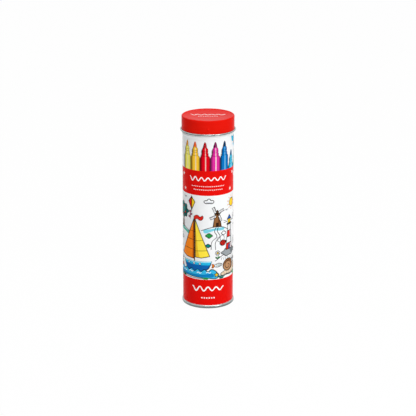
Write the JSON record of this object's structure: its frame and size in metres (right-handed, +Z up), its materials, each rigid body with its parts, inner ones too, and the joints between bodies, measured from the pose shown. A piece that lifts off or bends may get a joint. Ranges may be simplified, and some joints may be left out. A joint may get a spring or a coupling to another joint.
{
  "type": "felt-tip pen tube",
  "caption": "Tall round tinplate tube with a slip-on lid and a seamed base, printed with pens and drawings, holding capped felt-tip pens that lift out.",
  "frame": {"origin": "centre of the seam ring that the tube stands on, on the tube's axis", "axes": "+Z up along the tube's axis to the lid, -Y out of the printed front, +Y out of the side seam, +X to the right when the front is seen"},
  "size_m": [0.0468, 0.0468, 0.165],
  "materials": {
    "printed_tinplate": "glossy white printed",
    "bare_tinplate": "bright rolled tinplate",
    "red_enamel": "glossy red",
    "yellow_plastic": "moulded gloss",
    "yellow_nib_fibre": "ink-soaked fibre",
    "yellow_ink_felt": "ink-soaked felt",
    "golden_plastic": "moulded gloss",
    "golden_nib_fibre": "ink-soaked fibre",
    "golden_ink_felt": "ink-soaked felt",
    "red_plastic": "moulded gloss",
    "red_nib_fibre": "ink-soaked fibre",
    "red_ink_felt": "ink-soaked felt",
    "magenta_plastic": "moulded gloss",
    "magenta_nib_fibre": "ink-soaked fibre",
    "magenta_ink_felt": "ink-soaked felt",
    "blue_plastic": "moulded gloss",
    "blue_nib_fibre": "ink-soaked fibre",
    "blue_ink_felt": "ink-soaked felt",
    "cyan_plastic": "moulded gloss",
    "cyan_nib_fibre": "ink-soaked fibre",
    "cyan_ink_felt": "ink-soaked felt",
    "green_plastic": "moulded gloss",
    "green_nib_fibre": "ink-soaked fibre",
    "green_ink_felt": "ink-soaked felt",
    "lime_plastic": "moulded gloss",
    "lime_nib_fibre": "ink-soaked fibre",
    "lime_ink_felt": "ink-soaked felt",
    "brown_plastic": "moulded gloss",
    "brown_nib_fibre": "ink-soaked fibre",
    "brown_ink_felt": "ink-soaked felt",
    "black_plastic": "moulded gloss",
    "black_nib_fibre": "ink-soaked fibre",
    "black_ink_felt": "ink-soaked felt"
  },
  "bodies": {
    "tube": {"tube_body": "printed_tinplate", "base_end": "bare_tinplate"},
    "lid": {"lid": "red_enamel"},
    "pen_yellow": {"barrel_yellow": "yellow_plastic", "end_plug_yellow": "yellow_plastic", "nib_yellow": "yellow_nib_fibre", "ink_reservoir_yellow": "yellow_ink_felt"},
    "pen_cap_yellow": {"cap_yellow": "yellow_plastic"},
    "pen_golden": {"barrel_golden": "golden_plastic", "end_plug_golden": "golden_plastic", "nib_golden": "golden_nib_fibre", "ink_reservoir_golden": "golden_ink_felt"},
    "pen_cap_golden": {"cap_golden": "golden_plastic"},
    "pen_red": {"barrel_red": "red_plastic", "end_plug_red": "red_plastic", "nib_red": "red_nib_fibre", "ink_reservoir_red": "red_ink_felt"},
    "pen_cap_red": {"cap_red": "red_plastic"},
    "pen_magenta": {"barrel_magenta": "magenta_plastic", "end_plug_magenta": "magenta_plastic", "nib_magenta": "magenta_nib_fibre", "ink_reservoir_magenta": "magenta_ink_felt"},
    "pen_cap_magenta": {"cap_magenta": "magenta_plastic"},
    "pen_blue": {"barrel_blue": "blue_plastic", "end_plug_blue": "blue_plastic", "nib_blue": "blue_nib_fibre", "ink_reservoir_blue": "blue_ink_felt"},
    "pen_cap_blue": {"cap_blue": "blue_plastic"},
    "pen_cyan": {"barrel_cyan": "cyan_plastic", "end_plug_cyan": "cyan_plastic", "nib_cyan": "cyan_nib_fibre", "ink_reservoir_cyan": "cyan_ink_felt"},
    "pen_cap_cyan": {"cap_cyan": "cyan_plastic"},
    "pen_green": {"barrel_green": "green_plastic", "end_plug_green": "green_plastic", "nib_green": "green_nib_fibre", "ink_reservoir_green": "green_ink_felt"},
    "pen_cap_green": {"cap_green": "green_plastic"},
    "pen_lime": {"barrel_lime": "lime_plastic", "end_plug_lime": "lime_plastic", "nib_lime": "lime_nib_fibre", "ink_reservoir_lime": "lime_ink_felt"},
    "pen_cap_lime": {"cap_lime": "lime_plastic"},
    "pen_brown": {"barrel_brown": "brown_plastic", "end_plug_brown": "brown_plastic", "nib_brown": "brown_nib_fibre", "ink_reservoir_brown": "brown_ink_felt"},
    "pen_cap_brown": {"cap_brown": "brown_plastic"},
    "pen_black": {"barrel_black": "black_plastic", "end_plug_black": "black_plastic", "nib_black": "black_nib_fibre", "ink_reservoir_black": "black_ink_felt"},
    "pen_cap_black": {"cap_black": "black_plastic"}
  },
  "joints": [
    {"name": "lid_lift", "type": "slide", "parent": "tube", "child": "lid", "axis": [0, 0, 1], "range_m": [0, 0.06]},
    {"name": "lift_yellow_pen", "type": "slide", "parent": "tube", "child": "pen_yellow", "axis": [0, 0, 1], "range_m": [0, 0.0067]},
    {"name": "pull_yellow_cap", "type": "slide", "parent": "pen_yellow", "child": "pen_cap_yellow", "axis": [0, 0, 1], "range_m": [0, 0.0067]},
    {"name": "lift_golden_pen", "type": "slide", "parent": "tube", "child": "pen_golden", "axis": [0, 0, 1], "range_m": [0, 0.0067]},
    {"name": "pull_golden_cap", "type": "slide", "parent": "pen_golden", "child": "pen_cap_golden", "axis": [0, 0, 1], "range_m": [0, 0.0067]},
    {"name": "lift_red_pen", "type": "slide", "parent": "tube", "child": "pen_red", "axis": [0, 0, 1], "range_m": [0, 0.0067]},
    {"name": "pull_red_cap", "type": "slide", "parent": "pen_red", "child": "pen_cap_red", "axis": [0, 0, 1], "range_m": [0, 0.0067]},
    {"name": "lift_magenta_pen", "type": "slide", "parent": "tube", "child": "pen_magenta", "axis": [0, 0, 1], "range_m": [0, 0.0067]},
    {"name": "pull_magenta_cap", "type": "slide", "parent": "pen_magenta", "child": "pen_cap_magenta", "axis": [0, 0, 1], "range_m": [0, 0.0067]},
    {"name": "lift_blue_pen", "type": "slide", "parent": "tube", "child": "pen_blue", "axis": [0, 0, 1], "range_m": [0, 0.0067]},
    {"name": "pull_blue_cap", "type": "slide", "parent": "pen_blue", "child": "pen_cap_blue", "axis": [0, 0, 1], "range_m": [0, 0.0067]},
    {"name": "lift_cyan_pen", "type": "slide", "parent": "tube", "child": "pen_cyan", "axis": [0, 0, 1], "range_m": [0, 0.0067]},
    {"name": "pull_cyan_cap", "type": "slide", "parent": "pen_cyan", "child": "pen_cap_cyan", "axis": [0, 0, 1], "range_m": [0, 0.0067]},
    {"name": "lift_green_pen", "type": "slide", "parent": "tube", "child": "pen_green", "axis": [0, 0, 1], "range_m": [0, 0.0067]},
    {"name": "pull_green_cap", "type": "slide", "parent": "pen_green", "child": "pen_cap_green", "axis": [0, 0, 1], "range_m": [0, 0.0067]},
    {"name": "lift_lime_pen", "type": "slide", "parent": "tube", "child": "pen_lime", "axis": [0, 0, 1], "range_m": [0, 0.0067]},
    {"name": "pull_lime_cap", "type": "slide", "parent": "pen_lime", "child": "pen_cap_lime", "axis": [0, 0, 1], "range_m": [0, 0.0067]},
    {"name": "lift_brown_pen", "type": "slide", "parent": "tube", "child": "pen_brown", "axis": [0, 0, 1], "range_m": [0, 0.0067]},
    {"name": "pull_brown_cap", "type": "slide", "parent": "pen_brown", "child": "pen_cap_brown", "axis": [0, 0, 1], "range_m": [0, 0.0067]},
    {"name": "lift_black_pen", "type": "slide", "parent": "tube", "child": "pen_black", "axis": [0, 0, 1], "range_m": [0, 0.0067]},
    {"name": "pull_black_cap", "type": "slide", "parent": "pen_black", "child": "pen_cap_black", "axis": [0, 0, 1], "range_m": [0, 0.0067]}
  ]
}
